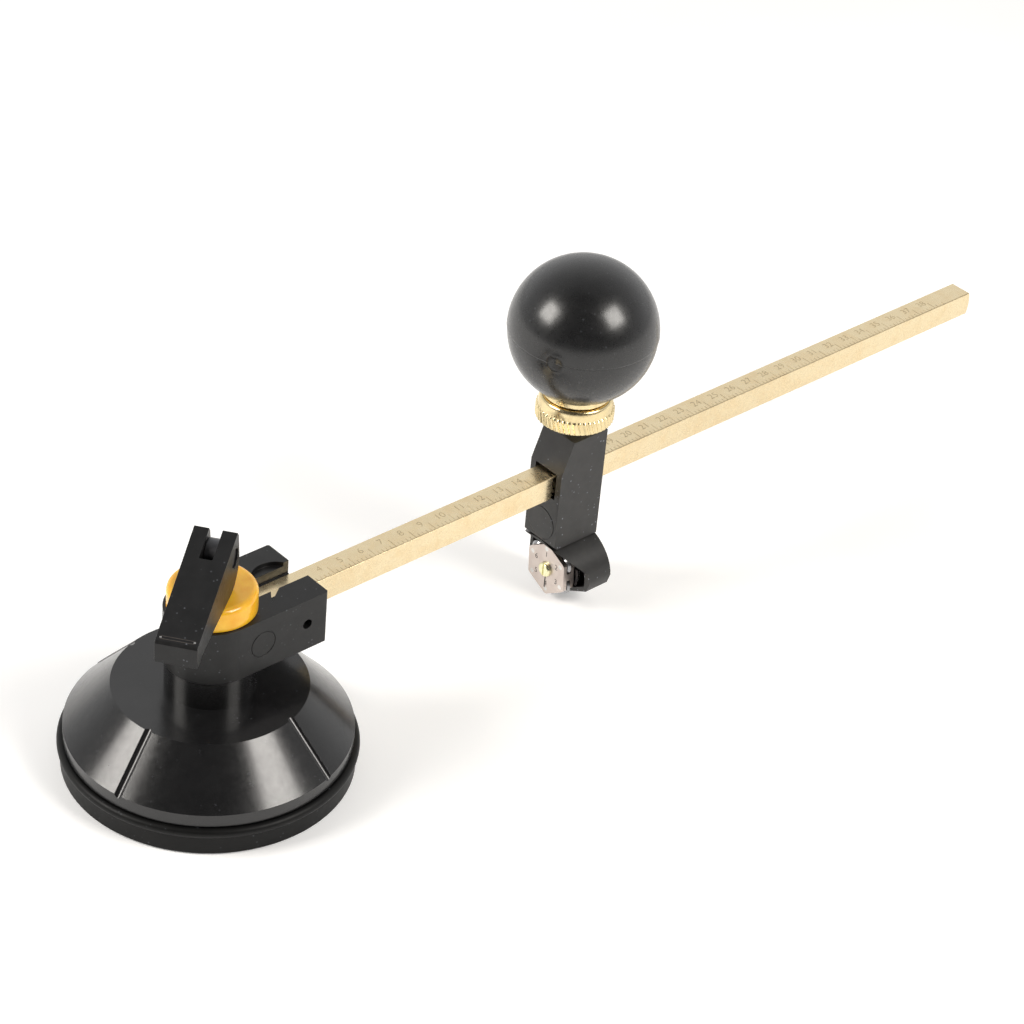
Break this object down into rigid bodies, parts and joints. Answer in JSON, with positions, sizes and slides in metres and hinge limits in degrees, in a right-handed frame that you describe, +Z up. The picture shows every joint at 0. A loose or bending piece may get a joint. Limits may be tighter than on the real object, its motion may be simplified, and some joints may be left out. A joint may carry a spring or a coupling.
{
  "type": "suction-base circular glass cutter",
  "caption": "Circle cutter for glass: lever-locked suction base, square brass scale bar, clamped carriage with ball handle and a turret of cutting wheels.",
  "frame": {"origin": "on the suction base's axis, at the level of the glass it stands on", "axes": "+X along the scale bar, away from the base; +Z up, along the axis that the arm turns about"},
  "size_m": [0.2372, 0.057, 0.079],
  "materials": {
    "gloss_black": "polished, slightly scuffed",
    "satin_black": "moulded, satin",
    "rubber_black": "matte",
    "yellow_plastic": "glossy amber yellow",
    "steel": "plated",
    "dark_steel": "blackened",
    "bar_brass": "drawn and polished, lightly stained",
    "nut_brass": "machined",
    "turret_zinc": "die cast, satin, warm tint",
    "wheel_steel": "ground"
  },
  "bodies": {
    "base": {"cup_housing": "gloss_black", "suction_pad": "rubber_black", "thrust_cap": "yellow_plastic"},
    "stem": {"pull_stem": "dark_steel", "stem_plate": "steel"},
    "lever": {"cam_lever": "satin_black", "lever_pin": "dark_steel"},
    "arm": {"swivel_block": "satin_black", "bar_set_screw": "dark_steel", "scale_bar": "bar_brass"},
    "carriage": {"slide_body": "satin_black", "turret_screw": "nut_brass", "turret_nut": "steel", "detent_spring": "dark_steel"},
    "clamp": {"pressure_pad": "nut_brass"},
    "knob": {"clamp_stud": "steel", "knob_insert": "nut_brass", "knob_lower_half": "gloss_black", "knob_upper_half": "gloss_black"},
    "nut": {"lock_nut": "nut_brass"},
    "turret": {"wheel_turret": "turret_zinc", "wheel_axle_1": "steel", "wheel_axle_2": "steel", "wheel_axle_3": "steel", "wheel_axle_4": "steel", "wheel_axle_5": "steel", "wheel_axle_6": "steel"},
    "wheel_1": {"cutting_wheel_1": "wheel_steel"},
    "wheel_2": {"cutting_wheel_2": "wheel_steel"},
    "wheel_3": {"cutting_wheel_3": "wheel_steel"},
    "wheel_4": {"cutting_wheel_4": "wheel_steel"},
    "wheel_5": {"cutting_wheel_5": "wheel_steel"},
    "wheel_6": {"cutting_wheel_6": "wheel_steel"}
  },
  "joints": [
    {"name": "stem_travel", "type": "slide", "parent": "base", "child": "stem", "axis": [0, 0, 1], "range_m": [-0.0028, 0], "deforming": ["suction_pad"]},
    {"name": "lever_flip", "type": "hinge", "parent": "stem", "child": "lever", "pos_m": [0, 0, 0.0474], "axis": [-0.6074, 0.7944, 0], "range_deg": [0, 92]},
    {"name": "arm_turn", "type": "hinge", "parent": "base", "child": "arm", "pos_m": [0, 0, 0.03], "axis": [0, 0, 1], "continuous": true},
    {"name": "carriage_slide", "type": "slide", "parent": "arm", "child": "carriage", "axis": [1, 0, 0], "range_m": [-0.054, 0.112]},
    {"name": "clamp_lift", "type": "slide", "parent": "carriage", "child": "clamp", "axis": [0, 0, 1], "range_m": [0, 0.0005]},
    {"name": "knob_turn", "type": "hinge", "parent": "clamp", "child": "knob", "pos_m": [0.0892, 0, 0.05], "axis": [0, 0, 1], "range_deg": [0, 182]},
    {"name": "nut_run", "type": "slide", "parent": "knob", "child": "nut", "axis": [0, 0, 1], "range_m": [-0.0029, 0]},
    {"name": "turret_turn", "type": "hinge", "parent": "carriage", "child": "turret", "pos_m": [0.0872, 0, 0.00755], "axis": [1, 0, 0], "continuous": true},
    {"name": "wheel_1_spin", "type": "hinge", "parent": "turret", "child": "wheel_1", "pos_m": [0.0872, 0.00034, 0.01234], "axis": [1, 0, 0], "continuous": true},
    {"name": "wheel_2_spin", "type": "hinge", "parent": "turret", "child": "wheel_2", "pos_m": [0.0872, -0.00398, 0.01023], "axis": [1, 0, 0], "continuous": true},
    {"name": "wheel_3_spin", "type": "hinge", "parent": "turret", "child": "wheel_3", "pos_m": [0.0872, -0.00431, 0.00545], "axis": [1, 0, 0], "continuous": true},
    {"name": "wheel_4_spin", "type": "hinge", "parent": "turret", "child": "wheel_4", "pos_m": [0.0872, -0.00034, 0.00276], "axis": [1, 0, 0], "continuous": true},
    {"name": "wheel_5_spin", "type": "hinge", "parent": "turret", "child": "wheel_5", "pos_m": [0.0872, 0.00398, 0.00487], "axis": [1, 0, 0], "continuous": true},
    {"name": "wheel_6_spin", "type": "hinge", "parent": "turret", "child": "wheel_6", "pos_m": [0.0872, 0.00431, 0.00965], "axis": [1, 0, 0], "continuous": true}
  ],
  "couplings": [
    {"joint": "lever_flip", "follows": "stem_travel", "rad_per_m": -561},
    {"joint": "knob_turn", "follows": "clamp_lift", "rad_per_m": 6283.2}
  ]
}
